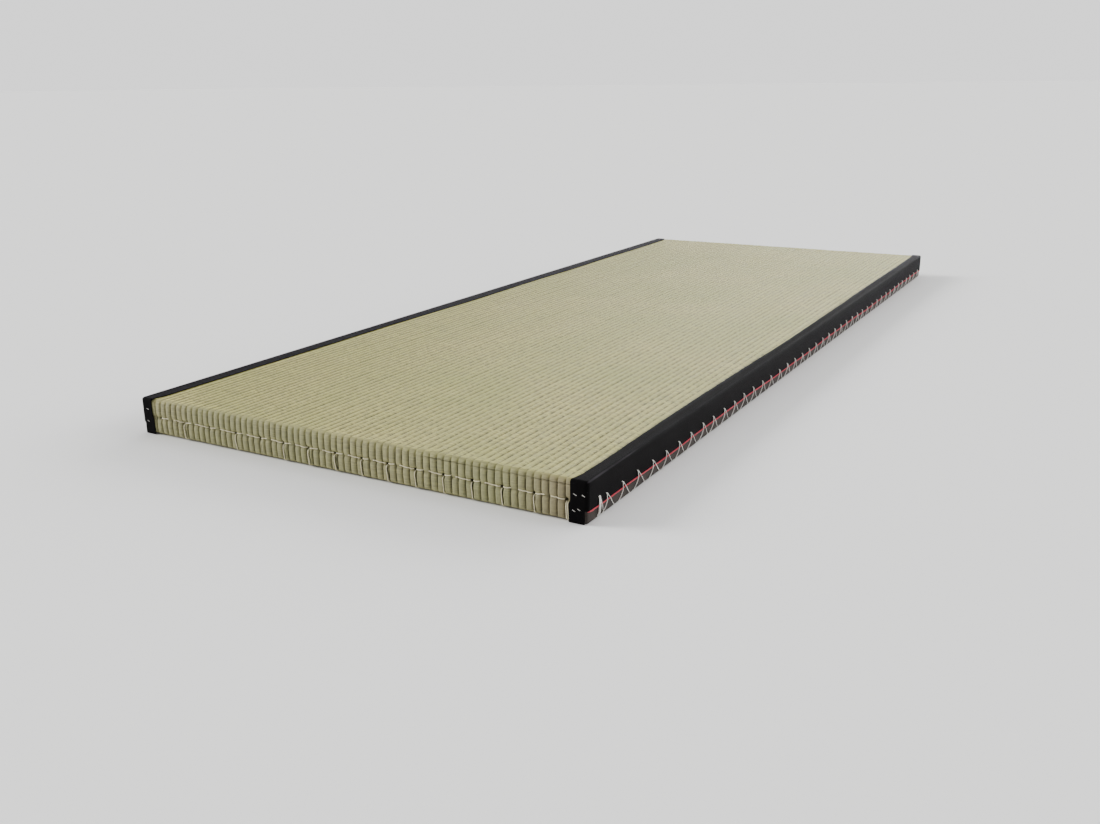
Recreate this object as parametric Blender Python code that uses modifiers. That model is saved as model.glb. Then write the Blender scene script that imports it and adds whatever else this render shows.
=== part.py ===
"""Tatami mat, 800 x 2000 x 58.5 mm, lying flat.

A woven rush facing wraps a firm body, with its ribs running lengthwise over the top and down both
ends. Black cloth borders are folded over the two long edges and round the ends. A dark backing sheet
covers the underside and is turned up behind the borders, and a red thread follows each border's
lower edge.

Frame: metres, +Z up, +Y along the mat, origin at the centre of the underside.
"""
import math

import bmesh
import bpy
from mathutils import Matrix, Vector

# Driving sizes of the whole mat, in metres
MAT_WIDTH = 0.800
MAT_LENGTH = 2.000
MAT_HEIGHT = 0.0585
HALF_WIDTH = MAT_WIDTH / 2
HALF_LENGTH = MAT_LENGTH / 2
CLEARANCE = 0.0003

# Cloth borders
CLOTH = 0.0012
BORDER_LEFT_WIDTH = 0.0265
BORDER_RIGHT_WIDTH = 0.0225
BORDER_SIDE_DROP = 0.040
BORDER_FOLD_RADIUS = 0.0045
BORDER_FOLD_STEPS = 4
BORDER_ROWS = 20
BORDER_FLAP_FOOT = 0.0004
BORDER_FLAP_FLARE = 0.003
BORDER_LOWER_EDGE = MAT_HEIGHT - BORDER_SIDE_DROP
EDGE_WAVE = 0.0010
EDGE_WAVE_LENGTHS = (0.62, 0.23)

# Backing sheet
BACKING = 0.0010
BACKING_TURN_UP = 0.030
BACKING_CORNER_RADIUS = 0.004
BACKING_CORNER_STEPS = 3
BACKING_END_INSET = 0.016
BACKING_EDGE_STEP = 0.002
BACKING_OUTER = HALF_WIDTH - CLOTH - CLEARANCE
BACKING_HALF_LENGTH = HALF_LENGTH - BORDER_FOLD_RADIUS - CLEARANCE

# Rush body
BODY_SIDE = BACKING_OUTER - BACKING - CLEARANCE
BODY_FOOT = BACKING + CLEARANCE
BODY_MARGIN_TOP = MAT_HEIGHT - CLOTH - CLEARANCE
BODY_MARGIN_END = HALF_LENGTH - CLOTH - CLEARANCE
FIELD_EDGE_GAP = 0.0008
FIELD_STEP = 0.0004
FIELD_LEFT = -HALF_WIDTH + BORDER_LEFT_WIDTH + FIELD_EDGE_GAP
FIELD_RIGHT = HALF_WIDTH - BORDER_RIGHT_WIDTH - FIELD_EDGE_GAP
FIELD_EDGE_HEIGHT = 0.8
CREST_TOP = MAT_HEIGHT - 0.0010
CREST_END = HALF_LENGTH - 0.0015
RIB_PITCH = 0.0115
FIRST_GROOVE = -0.3702
GROOVE_COUNT = 66
PITCH_ALTERNATION = 0.019
RIB_SHOULDERS = (0.28, 0.72)
RIB_ROUNDNESS = 2.6
RIB_DEPTH_TOP = 0.0010
RIB_DEPTH_END = 0.0022
UPPER_RADIUS = 0.0080
LOWER_RADIUS = 0.0060
UPPER_STEPS = 3
LOWER_STEPS = 2
SIDE_CHAMFER = 0.0026
END_BULGE = 0.0007
BULGE_FADE = 0.018

# Stitch line across each end, which draws the rush in
STITCH_HEIGHT = 0.0275
STITCH_REACH = 0.010
STITCH_ROW_STEP = 0.011
STITCH_DRAW = 0.0008
HOLE_DRAW = 0.0016
HOLE_GROOVES = (1, 6, 10, 15, 19, 23, 27, 32, 36, 40, 44, 48, 52, 56, 60, 64)
FOOT_DRAW = 0.0022
FOOT_DRAW_START = 0.004
FOOT_DRAW_FULL = 0.024

# Crease under the lip of the facing, on the right of the near end
CREASE_DROP = 0.0090
CREASE_DEPTH = 0.0014
CREASE_REACH = 0.004
CREASE_START = 0.12
CREASE_FULL = 0.30

# Red thread along the lower edge of each border
RED_DIAMETER = 0.0012
RED_BEVEL_RESOLUTION = 2
RED_X = BACKING_OUTER + CLEARANCE + RED_DIAMETER / 2
RED_BELOW_EDGE = CLEARANCE + RED_DIAMETER / 2
RED_HALF_LENGTH = BACKING_HALF_LENGTH

# Colours as linear red, green, blue
RUSH_COLOUR = (0.545, 0.501, 0.300)
BORDER_COLOUR = (0.012, 0.011, 0.014)
BACKING_COLOUR = (0.052, 0.045, 0.041)
RED_COLOUR = (0.604, 0.054, 0.054)


def clear_scene():
    """Empty the scene of whatever it opened with."""
    for old in list(bpy.data.objects):
        bpy.data.objects.remove(old, do_unlink=True)


def collection_named(name):
    """A collection of this name, linked to the scene."""
    group = bpy.data.collections.new(name)
    bpy.context.scene.collection.children.link(group)
    return group


def principled(name, colour, roughness):
    """A plain material of this colour."""
    material = bpy.data.materials.new(name)
    material.use_nodes = True
    shader = material.node_tree.nodes["Principled BSDF"]
    shader.inputs["Base Color"].default_value = (*colour, 1.0)
    shader.inputs["Roughness"].default_value = roughness
    shader.inputs["Metallic"].default_value = 0.0
    material.diffuse_color = (*colour, 1.0)
    return material


def finished_object(name, bm, material, group, root):
    """Turn an edited mesh into a named object under the mat's root."""
    mesh = bpy.data.meshes.new(name)
    bm.to_mesh(mesh)
    bm.free()
    mesh.materials.append(material)
    piece = bpy.data.objects.new(name, mesh)
    piece.parent = root
    group.objects.link(piece)
    return piece


def smooth_step(value, low, high):
    """0 below low, 1 above high, with an even S between them."""
    t = min(max((value - low) / (high - low), 0.0), 1.0)
    return t * t * (3 - 2 * t)


def edge_wave(y):
    """How far the lower edge of a border wanders from its line."""
    long_wave, short_wave = EDGE_WAVE_LENGTHS
    turn = 2 * math.pi * y
    return EDGE_WAVE * (math.sin(turn / long_wave) + 0.5 * math.sin(turn / short_wave))


def groove_x(index):
    """Place of a groove across the mat: even pitch, with every other rib a little wider."""
    shift = PITCH_ALTERNATION * RIB_PITCH * (0.5 if index % 2 else -0.5)
    return FIRST_GROOVE + index * RIB_PITCH + shift


def rib_columns():
    """Columns of points across the mat, as (x, height within the rib from 0 to 1)."""
    columns = []
    for index in range(-1, GROOVE_COUNT):
        left = groove_x(index)
        right = groove_x(index + 1)
        columns.append((left, 0.0))
        for t in RIB_SHOULDERS:
            columns.append((left + t * (right - left), 1 - abs(2 * t - 1) ** RIB_ROUNDNESS))
    inside = [(x, h) for x, h in columns if FIELD_LEFT + FIELD_STEP < x < FIELD_RIGHT - FIELD_STEP]
    field = [(FIELD_LEFT, FIELD_EDGE_HEIGHT)] + inside + [(FIELD_RIGHT, FIELD_EDGE_HEIGHT)]
    outer = [BODY_SIDE - SIDE_CHAMFER, BODY_SIDE]
    left_margin = [-x for x in reversed(outer)] + [FIELD_LEFT - FIELD_STEP]
    right_margin = [FIELD_RIGHT + FIELD_STEP] + outer
    return [(x, None) for x in left_margin] + field + [(x, None) for x in right_margin]


def arc_points(centre_y, centre_z, radius, start, stop, steps):
    """Points on an arc in the YZ plane, each as (y, z, outward y, outward z)."""
    points = []
    for step in range(steps + 1):
        angle = math.radians(start + (stop - start) * step / steps)
        out_y, out_z = math.cos(angle), math.sin(angle)
        points.append((centre_y + radius * out_y, centre_z + radius * out_z, out_y, out_z))
    return points


def near_end_profile(top, end):
    """Profile of the facing at the near end, from the underside up to the top."""
    wall = -end
    lower = arc_points(wall + LOWER_RADIUS, BODY_FOOT + LOWER_RADIUS, LOWER_RADIUS, 270, 180, LOWER_STEPS)
    upper = arc_points(wall + UPPER_RADIUS, top - UPPER_RADIUS, UPPER_RADIUS, 180, 90, UPPER_STEPS)
    step = STITCH_ROW_STEP
    between = (STITCH_HEIGHT - step, STITCH_HEIGHT, STITCH_HEIGHT + step, top - CREASE_DROP)
    return lower + [(wall, z, -1.0, 0.0) for z in between] + upper


def whole_profile(top, end):
    """Profile of the facing from the near underside over the top to the far underside."""
    near = near_end_profile(top, end)
    middle = [(0.0, top, 0.0, 1.0)]
    far = [(-y, z, -out_y, out_z) for y, z, out_y, out_z in reversed(near)]
    return near + middle + far


def nearest_hole_weight(x):
    """1 at a needle hole of the stitch line, falling to 0 about a rib away."""
    away = min(abs(x - groove_x(groove)) for groove in HOLE_GROOVES)
    return max(0.0, 1 - away / RIB_PITCH)


def drawn_in(x, y, z):
    """How far the sewing and the crease draw the facing in, at this place on an end."""
    at_line = max(0.0, 1 - abs(z - STITCH_HEIGHT) / STITCH_REACH)
    hole = nearest_hole_weight(x)
    depth = at_line * (STITCH_DRAW + HOLE_DRAW * hole)
    if z < STITCH_HEIGHT:
        depth += FOOT_DRAW * hole * smooth_step(STITCH_HEIGHT - z, FOOT_DRAW_START, FOOT_DRAW_FULL)
    if y < 0:
        at_crease = max(0.0, 1 - abs(z - (CREST_TOP - CREASE_DROP)) / CREASE_REACH)
        depth += CREASE_DEPTH * at_crease * smooth_step(x, CREASE_START, CREASE_FULL)
    return depth


def field_point(x, height, row):
    """A point of the ribbed field: on the profile, let down by the rib and by the sewing."""
    y, z, out_y, out_z = row
    on_end = abs(out_y)
    rib = (1 - height) * (RIB_DEPTH_TOP + (RIB_DEPTH_END - RIB_DEPTH_TOP) * on_end)
    from_border = min(x - FIELD_LEFT, FIELD_RIGHT - x)
    fullness = smooth_step(from_border, 0.0, BULGE_FADE) * math.sin(math.pi * z / CREST_TOP)
    bulge = END_BULGE * on_end * fullness
    depth = rib - bulge + on_end * drawn_in(x, y, z)
    if out_z < 0:
        depth *= 1 + out_z
    return Vector((x, y - depth * out_y, z - depth * out_z))


def build_rush_mat(group, root):
    """The rush facing over its body: a grid wrapped over the profile, then closed."""
    columns = rib_columns()
    crest_rows = whole_profile(CREST_TOP, CREST_END)
    margin_rows = whole_profile(BODY_MARGIN_TOP, BODY_MARGIN_END)
    side_rows = whole_profile(BODY_MARGIN_TOP - SIDE_CHAMFER, BODY_MARGIN_END - SIDE_CHAMFER)
    across = len(columns) - 1
    along = len(crest_rows) - 1
    bm = bmesh.new()
    bmesh.ops.create_grid(bm, x_segments=across, y_segments=along, size=0.5)
    for vert in bm.verts:
        column = round((vert.co.x + 0.5) * across)
        row = round((vert.co.y + 0.5) * along)
        x, height = columns[column]
        if abs(x) > BODY_SIDE - CLEARANCE:
            y, z, _, _ = side_rows[row]
            vert.co = Vector((x, y, max(z, BODY_FOOT + SIDE_CHAMFER)))
        elif height is None:
            y, z, _, _ = margin_rows[row]
            vert.co = Vector((x, y, z))
        else:
            vert.co = field_point(x, height, crest_rows[row])

    def across_mat(edge):
        return abs(edge.verts[0].co.x - edge.verts[1].co.x) > CLEARANCE / 2

    bmesh.ops.bridge_loops(bm, edges=[e for e in bm.edges if e.is_boundary and across_mat(e)])
    bmesh.ops.holes_fill(bm, edges=[e for e in bm.edges if e.is_boundary], sides=0)
    bmesh.ops.recalc_face_normals(bm, faces=bm.faces)
    material = principled("woven_rush", RUSH_COLOUR, 0.75)
    return finished_object("rush_mat", bm, material, group, root)


def cut_across(bm, places, axis):
    """Cut a mesh by planes square to an axis, at these places."""
    normal = Vector((0, 0, 0))
    normal[axis] = 1.0
    for place in places:
        geometry = bm.verts[:] + bm.edges[:] + bm.faces[:]
        bmesh.ops.bisect_plane(bm, geom=geometry, plane_co=normal * place, plane_no=normal, dist=1e-6)


def delete_faces(bm, test):
    """Delete the faces whose centre and normal pass a test."""
    bm.normal_update()
    doomed = [f for f in bm.faces if test(f.calc_center_median(), f.normal)]
    bmesh.ops.delete(bm, geom=doomed, context="FACES")


def mirrored(bm):
    """Turn a right-hand piece into the left-hand one."""
    bmesh.ops.scale(bm, vec=(-1.0, 1.0, 1.0), verts=bm.verts)
    bmesh.ops.reverse_faces(bm, faces=bm.faces)


def build_border(name, width, left, group, root):
    """A border cloth: an open folded surface cut from a rounded box, given its thickness."""
    inner = HALF_WIDTH - width
    foot = BORDER_FLAP_FOOT
    bm = bmesh.new()
    place = Matrix.Translation(((inner + HALF_WIDTH) / 2, 0.0, (foot + MAT_HEIGHT) / 2))
    size = Matrix.Diagonal((width, MAT_LENGTH, MAT_HEIGHT - foot, 1.0))
    bmesh.ops.create_cube(bm, size=1.0, matrix=place @ size)

    def folded(edge):
        middle = (edge.verts[0].co + edge.verts[1].co) / 2
        on_side = middle.x > HALF_WIDTH - CLEARANCE
        on_top = middle.z > MAT_HEIGHT - CLEARANCE
        on_end = abs(middle.y) > HALF_LENGTH - CLEARANCE
        kept = middle.x > inner + CLEARANCE and middle.z > foot + CLEARANCE
        return on_side + on_top + on_end >= 2 and kept

    fold_edges = [e for e in bm.edges if folded(e)]
    bmesh.ops.bevel(bm, geom=fold_edges, offset=BORDER_FOLD_RADIUS, segments=BORDER_FOLD_STEPS,
                    profile=0.5, affect="EDGES")
    row = MAT_LENGTH / BORDER_ROWS
    cut_across(bm, [row * k - HALF_LENGTH for k in range(1, BORDER_ROWS)], axis=1)
    cut_across(bm, [BORDER_LOWER_EDGE], axis=2)
    delete_faces(bm, lambda c, n: n.x < -0.9)
    delete_faces(bm, lambda c, n: n.z < -0.9)
    delete_faces(bm, lambda c, n: n.x > 0.9 and c.z < BORDER_LOWER_EDGE)
    for vert in bm.verts:
        on_side = vert.co.x > HALF_WIDTH - CLEARANCE and abs(vert.co.y) < BACKING_HALF_LENGTH
        if on_side and abs(vert.co.z - BORDER_LOWER_EDGE) < CLEARANCE:
            vert.co.z += edge_wave(vert.co.y)
        if vert.co.x < inner + CLEARANCE and vert.co.z < foot + CLEARANCE:
            vert.co.x -= BORDER_FLAP_FLARE
    if left:
        mirrored(bm)
    material = principled(f"{name}_cloth", BORDER_COLOUR, 0.62)
    piece = finished_object(name, bm, material, group, root)
    thicken = piece.modifiers.new("Cloth thickness", "SOLIDIFY")
    thicken.thickness = CLOTH
    thicken.offset = -1.0
    thicken.use_even_offset = True
    return piece


def build_backing(group, root):
    """The backing sheet: a shallow tray open at its ends, its underside inset at both ends."""
    bm = bmesh.new()
    place = Matrix.Translation((0.0, 0.0, BACKING_TURN_UP / 2))
    size = Matrix.Diagonal((2 * BACKING_OUTER, 2 * BACKING_HALF_LENGTH, BACKING_TURN_UP, 1.0))
    bmesh.ops.create_cube(bm, size=1.0, matrix=place @ size)
    corners = [e for e in bm.edges if all(v.co.z < CLEARANCE for v in e.verts)
               and abs(e.verts[0].co.y - e.verts[1].co.y) > MAT_WIDTH]
    bmesh.ops.bevel(bm, geom=corners, offset=BACKING_CORNER_RADIUS, segments=BACKING_CORNER_STEPS,
                    profile=0.5, affect="EDGES")
    delete_faces(bm, lambda c, n: n.z > 0.9)
    delete_faces(bm, lambda c, n: abs(n.y) > 0.9)
    full_length = HALF_WIDTH - BORDER_RIGHT_WIDTH + BACKING_EDGE_STEP
    set_back = full_length - BACKING_EDGE_STEP
    cut_across(bm, [-full_length, -set_back, set_back, full_length], axis=0)
    for vert in bm.verts:
        if abs(vert.co.x) < set_back + CLEARANCE:
            vert.co.y -= math.copysign(BACKING_END_INSET, vert.co.y)
    material = principled("backing_weave", BACKING_COLOUR, 0.85)
    piece = finished_object("backing_sheet", bm, material, group, root)
    thicken = piece.modifiers.new("Sheet thickness", "SOLIDIFY")
    thicken.thickness = BACKING
    thicken.offset = -1.0
    thicken.use_even_offset = True
    return piece


def build_red_edge(name, side, group, root):
    """The red thread: a fine tube that follows the border's lower edge."""
    curve = bpy.data.curves.new(name, "CURVE")
    curve.dimensions = "3D"
    curve.bevel_depth = RED_DIAMETER / 2
    curve.bevel_resolution = RED_BEVEL_RESOLUTION
    curve.use_fill_caps = True
    spline = curve.splines.new("POLY")
    row = MAT_LENGTH / BORDER_ROWS
    inner_places = [row * k - HALF_LENGTH for k in range(1, BORDER_ROWS)]
    places = [-RED_HALF_LENGTH] + inner_places + [RED_HALF_LENGTH]
    spline.points.add(len(places) - 1)
    for point, y in zip(spline.points, places):
        wave = edge_wave(y) if abs(y) < RED_HALF_LENGTH else 0.0
        point.co = (side * RED_X, y, BORDER_LOWER_EDGE - RED_BELOW_EDGE + wave, 1.0)
    curve.materials.append(principled(f"{name}_thread", RED_COLOUR, 0.55))
    piece = bpy.data.objects.new(name, curve)
    piece.parent = root
    group.objects.link(piece)
    return piece


def build():
    """Model the whole mat."""
    clear_scene()
    group = collection_named("tatami_mat")
    root = bpy.data.objects.new("mat_root", None)
    group.objects.link(root)
    build_rush_mat(group, root)
    build_backing(group, root)
    build_border("border_left", BORDER_LEFT_WIDTH, True, group, root)
    build_border("border_right", BORDER_RIGHT_WIDTH, False, group, root)
    build_red_edge("red_edge_left", -1, group, root)
    build_red_edge("red_edge_right", 1, group, root)


build()
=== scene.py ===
# %% [markdown]
# # A tatami mat, dressed
#
# The real mat is a firm body wrapped in a mat woven from rush. Black cloth borders are folded over its
# two long edges, a dark backing sheet is turned up behind them, and everything is sewn together by
# hand with thick thread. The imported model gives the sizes, and this lesson makes the surfaces.

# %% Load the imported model
import math

import bmesh
import bpy
import numpy as np
from mathutils import Matrix, Vector


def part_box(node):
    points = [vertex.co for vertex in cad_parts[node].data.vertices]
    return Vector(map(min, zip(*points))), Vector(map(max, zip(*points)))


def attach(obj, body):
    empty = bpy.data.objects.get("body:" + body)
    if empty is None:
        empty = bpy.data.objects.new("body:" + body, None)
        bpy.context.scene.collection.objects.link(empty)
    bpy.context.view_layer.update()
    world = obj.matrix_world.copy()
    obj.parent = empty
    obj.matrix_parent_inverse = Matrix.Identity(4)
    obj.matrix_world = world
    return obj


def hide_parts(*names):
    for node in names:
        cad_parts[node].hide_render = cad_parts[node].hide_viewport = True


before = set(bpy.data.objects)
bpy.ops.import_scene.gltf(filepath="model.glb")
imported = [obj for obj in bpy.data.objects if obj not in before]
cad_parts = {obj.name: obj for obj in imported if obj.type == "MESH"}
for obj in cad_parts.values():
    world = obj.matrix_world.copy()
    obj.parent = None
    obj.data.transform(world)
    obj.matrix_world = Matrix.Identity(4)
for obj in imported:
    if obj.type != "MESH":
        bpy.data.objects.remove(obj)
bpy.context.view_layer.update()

MM = 0.001
HALF_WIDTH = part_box("border_right")[1].x
HALF_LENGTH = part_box("border_right")[1].y
MAT_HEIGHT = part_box("border_right")[1].z
LEFT_INNER = -0.3735
RIGHT_INNER = 0.3775
LEFT_LIMIT = -0.3795
RIGHT_LIMIT = 0.3855
print("half width, half length, height:", HALF_WIDTH, HALF_LENGTH, MAT_HEIGHT)

# %% [markdown]
# ## Small tools
#
# Screen colours are written as hex values, as a colour picker shows them, while the renderer wants
# linear light, so one function converts them. One more function adds a node with its settings and
# links. In edit mode, what an operator acts on is chosen in code, by the place of a face or an edge.

# %% Colour, nodes and selection
def linear(hex_colour):
    """Turn an sRGB hex colour into linear red, green, blue and alpha."""
    channels = [int(hex_colour[i:i + 2], 16) / 255 for i in (1, 3, 5)]
    light = [c / 12.92 if c <= 0.04045 else ((c + 0.055) / 1.055) ** 2.4 for c in channels]
    return (*light, 1.0)


def set_inputs(node, inputs):
    """Give each named input of a node its value, or a link from another node's output."""
    for socket, value in dict(inputs).items():
        if isinstance(value, bpy.types.NodeSocket):
            node.id_data.links.new(value, node.inputs[socket])
        else:
            node.inputs[socket].default_value = value


def add(tree, kind, inputs=(), **settings):
    """Add a shader node with its settings and inputs; return its first output in use."""
    node = tree.nodes.new("ShaderNode" + kind)
    for name, value in settings.items():
        setattr(node, name, value)
    set_inputs(node, inputs)
    return next(output for output in node.outputs if output.enabled)


def new_material(name):
    """Start a material; return it, its nodes, its shader, and each point's place on the object."""
    material = bpy.data.materials.new(name)
    material.use_nodes = True
    tree = material.node_tree
    place = add(tree, "TexCoord").node.outputs["Object"]
    return material, tree, tree.nodes["Principled BSDF"], place


def deselect():
    """Leave nothing selected, so that an operator meets only the piece in hand."""
    if bpy.context.object and bpy.context.object.mode != "OBJECT":
        bpy.ops.object.mode_set(mode="OBJECT")
    bpy.ops.object.select_all(action="DESELECT")


def take(piece):
    """Make one piece the only selected one and the active one."""
    deselect()
    piece.select_set(True)
    bpy.context.view_layer.objects.active = piece


def choose(kind, test):
    """In edit mode, select the vertices, edges or faces that pass a test, and nothing else."""
    bpy.ops.mesh.select_mode(type=kind)
    bpy.ops.mesh.select_all(action="DESELECT")
    mesh = bpy.context.object.data
    bm = bmesh.from_edit_mesh(mesh)
    bm.normal_update()
    for item in {"VERT": bm.verts, "EDGE": bm.edges, "FACE": bm.faces}[kind]:
        if test(item):
            item.select_set(True)
    bmesh.update_edit_mesh(mesh)


def middle(edge):
    """The middle of an edge."""
    return (edge.verts[0].co + edge.verts[1].co) / 2


def along_axis(edge, axis, least=0.0):
    """True if an edge runs along one axis and is longer than least."""
    run = edge.verts[1].co - edge.verts[0].co
    return abs(run[axis]) > least and abs(run[axis]) > 0.99 * run.length


def apply_modifiers(piece):
    """Apply every modifier of a piece, in order."""
    take(piece)
    for name in [modifier.name for modifier in piece.modifiers]:
        bpy.ops.object.modifier_apply(modifier=name)


def give_thickness(cloth, thickness):
    """Thicken a cloth inwards with Solidify, and smooth all but its sharp edges."""
    solidify = cloth.modifiers.new("thickness", "SOLIDIFY")
    solidify.thickness = thickness
    solidify.offset = -1.0
    solidify.use_even_offset = True
    apply_modifiers(cloth)
    bpy.ops.object.shade_smooth_by_angle(angle=math.radians(50))


def finish_piece(piece, name, material, replaced=()):
    """Name a piece, give it its material, hang it on the root body, and hide the imported parts that it
    stands for.
    """
    take(piece)
    bpy.ops.object.transform_apply()
    piece.name = name
    piece.data.name = name
    piece.data.materials.clear()
    piece.data.materials.append(material)
    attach(piece, "root")
    if replaced:
        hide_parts(*replaced)
    triangles = sum(len(face.vertices) - 2 for face in piece.data.polygons)
    print(f"{name}: {triangles} triangles")


# %% [markdown]
# ## The camera
#
# The camera stands a little above the mat, beyond its near right corner. Its place, turn and lens are
# those that make the corners, the ribs and the side stitches fall where they do in the photograph.

# %% Camera
CAMERA_PLACE = (0.9673, -2.0846, 0.5274)
CAMERA_TURN = 29.765
CAMERA_DOWN = 17.175
CAMERA_ROLL = -0.598
LENS_MM = 34.85

deselect()
bpy.ops.object.camera_add(location=CAMERA_PLACE)
camera = bpy.context.object
turn = Matrix.Rotation(math.radians(CAMERA_TURN), 4, "Z")
tilt = Matrix.Rotation(math.radians(90 - CAMERA_DOWN), 4, "X")
roll = Matrix.Rotation(math.radians(CAMERA_ROLL), 4, "Z")
camera.matrix_world = Matrix.Translation(CAMERA_PLACE) @ turn @ tilt @ roll
camera.data.lens = LENS_MM
camera.data.sensor_width = 36
bpy.context.scene.camera = camera
print("camera at", tuple(round(c, 3) for c in camera.location))

# %% [markdown]
# ## Floor and light
#
# A plain pale floor runs out to the horizon. The sky gives the soft light of a studio, and is darker on
# the camera's side, so that the near end stays in half shade. Low behind the mat and a little to the
# right it has a wide bright window, which the far half of the top mirrors, because the eye skims it.
# Two wide suns stand for large lamps. The one from the left gives each rib of the near end a light and
# a dark flank, and the one from the right lights the lacing.

# %% Floor, sky and suns
FLOOR_SIZE = 400
FLOOR_GAP = 0.2 * MM
SKY_STOPS = ((0.0, 1.42), (0.08, 1.42), (0.17, 1.4), (0.34, 1.0), (0.60, 0.75), (1.0, 1.45))
SKY_SIDES = (0.26, 1.0)
BRIGHTER_SIDE = (-0.3, 0.95, 0.0)
WINDOW_SIDE = (0.25, 0.97, 0.0)
WINDOW_STRENGTH = 13.0
SUNS = (
    # name, the side that it shines from, strength, width in degrees
    ("wide_sun_left", (-0.85, -0.30, 0.42), 3.6, 24),
    ("wide_sun_right", (0.84, 0.40, 0.36), 1.2, 34),
)


def floor_paint():
    """Matt white studio floor: no pattern, no shine."""
    material = bpy.data.materials.new("studio_floor_matt_paint")
    material.use_nodes = True
    set_inputs(material.node_tree.nodes["Principled BSDF"],
               {"Base Color": linear("#f4f4f3"), "Roughness": 0.9, "Specular IOR Level": 0.0})
    return material


deselect()
bpy.ops.mesh.primitive_plane_add(size=FLOOR_SIZE, location=(0, 0, -FLOOR_GAP))
floor = bpy.context.object
floor.name = "studio_floor"
floor.data.materials.append(floor_paint())

world = bpy.data.worlds.new("graded_sky")
world.use_nodes = True
bpy.context.scene.world = world
sky_tree = world.node_tree
direction = add(sky_tree, "TexCoord").node.outputs["Generated"]
upward = add(sky_tree, "SeparateXYZ", {0: direction}).node.outputs[2]
brightest = max(strength for _, strength in SKY_STOPS)
grading = add(sky_tree, "ValToRGB", {0: upward}).node
for number, (height, strength) in enumerate(SKY_STOPS):
    stop = grading.color_ramp.elements[number] if number < 2 else grading.color_ramp.elements.new(height)
    stop.position = height
    stop.color = (strength / brightest,) * 3 + (1.0,)
backward = add(sky_tree, "VectorMath", {0: direction, 1: BRIGHTER_SIDE}, operation="DOT_PRODUCT")
side = add(sky_tree, "MapRange", {"Value": backward, "From Min": -0.7, "From Max": 0.7,
           "To Min": SKY_SIDES[0], "To Max": SKY_SIDES[1]}, interpolation_type="SMOOTHSTEP")
horizon = add(sky_tree, "MapRange", {"Value": upward, "From Min": 0.06, "From Max": 0.14,
              "To Min": 1.0, "To Max": 0.0})
even_low = add(sky_tree, "Math", {0: side, 1: horizon}, operation="MAXIMUM")
graded = add(sky_tree, "Math", {0: grading.outputs[0], 1: even_low}, operation="MULTIPLY")
toward = add(sky_tree, "VectorMath", {0: direction, 1: WINDOW_SIDE}, operation="DOT_PRODUCT")
window_width = add(sky_tree, "MapRange", {"Value": toward, "From Min": 0.55, "From Max": 1.0,
                   "To Max": WINDOW_STRENGTH}, interpolation_type="SMOOTHSTEP")
window_foot = add(sky_tree, "MapRange", {"Value": upward, "From Min": 0.09, "From Max": 0.16},
                  interpolation_type="SMOOTHSTEP")
window_head = add(sky_tree, "MapRange", {"Value": upward, "From Min": 0.28, "From Max": 0.50,
                  "To Min": 1.0, "To Max": 0.0}, interpolation_type="SMOOTHSTEP")
window_height = add(sky_tree, "Math", {0: window_foot, 1: window_head}, operation="MULTIPLY")
window = add(sky_tree, "Math", {0: window_width, 1: window_height}, operation="MULTIPLY")
strength = add(sky_tree, "Math", {0: graded, 1: brightest, 2: window}, operation="MULTIPLY_ADD")
set_inputs(sky_tree.nodes["Background"], {"Color": linear("#ffffff"), "Strength": strength})

for name, place, energy, width in SUNS:
    bpy.ops.object.light_add(type="SUN", location=place)
    sun = bpy.context.object
    sun.name = name
    sun.data.energy = energy
    sun.data.angle = math.radians(width)
    sun.rotation_euler = Vector(place).to_track_quat("Z", "Y").to_euler()
print("suns:", len(SUNS))

# %% [markdown]
# ## How the rush is drawn over the body
#
# The facing is woven of rush stalks that run across the mat, over warps that run along it. Between two
# warps the stalks stand up as a rib about 11.5 mm wide. The same sheet goes over the top, down both
# ends and under. Its cross-section along the mat is therefore one long profile: a lower turn, a wall, an
# upper turn, the top, and the same again at the far end. Each row of the profile holds a point, the
# direction that faces outwards there, and the length of rush from its start.

# %% Profile of the facing
INNER_EDGES = {
    # the inner edge of each border, as (place along the mat, place across it); the ends are the flaps
    -1: ((-1.0, -0.3775), (-0.975, -0.3725), (-0.70, -0.3718), (-0.40, -0.3730), (-0.15, -0.3665),
         (0.20, -0.3680), (0.36, -0.3660), (0.55, -0.3688), (0.75, -0.3655), (0.975, -0.3685),
         (1.0, -0.3775)),
    1: ((-1.0, 0.3745), (-0.975, 0.3792), (-0.90, 0.3802), (-0.58, 0.3788), (-0.40, 0.3812),
        (-0.22, 0.3838), (0.22, 0.3832), (0.36, 0.3814), (0.80, 0.3812), (0.975, 0.3797),
        (1.0, 0.3745)),
}
CREST_TOP = 0.0576
CREST_END = 0.9986
FOOT = 0.0013
LOWER_RADIUS = 0.006
UPPER_RADIUS = 0.0082
STITCH_HEIGHT = 0.0285
WALL_ROWS = (9, 12, 15, 18, 20.5, 22.8, 24.6, 26, 27, 28, 29, 30, 31.2, 32.8, 35,
             38, 41, 43.5, 45.0, 46.2, 47.2, 47.9, 48.6)
FOLD_ROWS = (2, 4.5, 8, 13, 20)
TOP_ROWS = 46


def inner_edge(side, y):
    """Where the inner edge of a border lies across the mat, at a place along it."""
    along, across = zip(*INNER_EDGES[side])
    return np.interp(y, along, across)


def turn_rows(centre_y, centre_z, radius, start, stop, steps):
    """Rows round a turn of the profile, each as (y, z, outward y, outward z)."""
    angles = np.radians(np.linspace(start, stop, steps + 1))
    out_y, out_z = np.cos(angles), np.sin(angles)
    return list(zip(centre_y + radius * out_y, centre_z + radius * out_z, out_y, out_z))


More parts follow.
